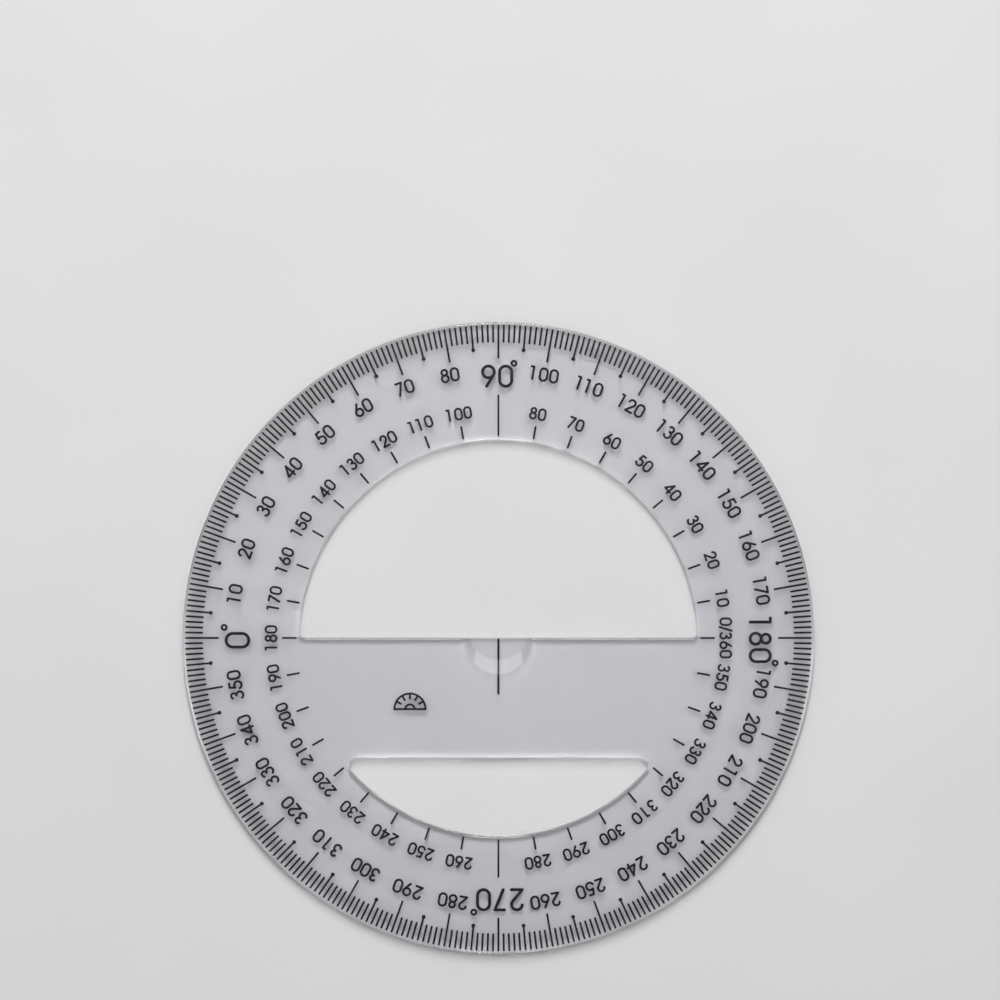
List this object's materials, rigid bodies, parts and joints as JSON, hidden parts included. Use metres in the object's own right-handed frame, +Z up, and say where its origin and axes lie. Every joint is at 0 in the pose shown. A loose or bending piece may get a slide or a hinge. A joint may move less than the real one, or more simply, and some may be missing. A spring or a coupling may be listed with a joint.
{
  "type": "360-degree protractor",
  "caption": "Clear round 360-degree protractor with two see-through windows, a cross bar with a thinned centre and printed inner and outer angle scales.",
  "frame": {"origin": "centre of the angle scale, on the underside of the disc", "axes": "+Z up out of the printed top face, +Y towards the 90 mark, +X towards the 180 mark of the outer scale (the 0 of the inner one)"},
  "size_m": [0.15, 0.15, 0.002],
  "materials": {
    "clear_plastic": "polished clear acrylic",
    "black_ink": "printed black ink, satin"
  },
  "bodies": {
    "root": {"protractor_plate": "clear_plastic", "one_degree_marks": "black_ink", "five_degree_marks": "black_ink", "ten_degree_marks": "black_ink", "inner_scale_marks": "black_ink", "axis_lines": "black_ink", "centre_line": "black_ink", "outer_numerals": "black_ink", "inner_numerals": "black_ink", "main_numerals": "black_ink", "angle_emblem": "black_ink"}
  },
  "joints": []
}
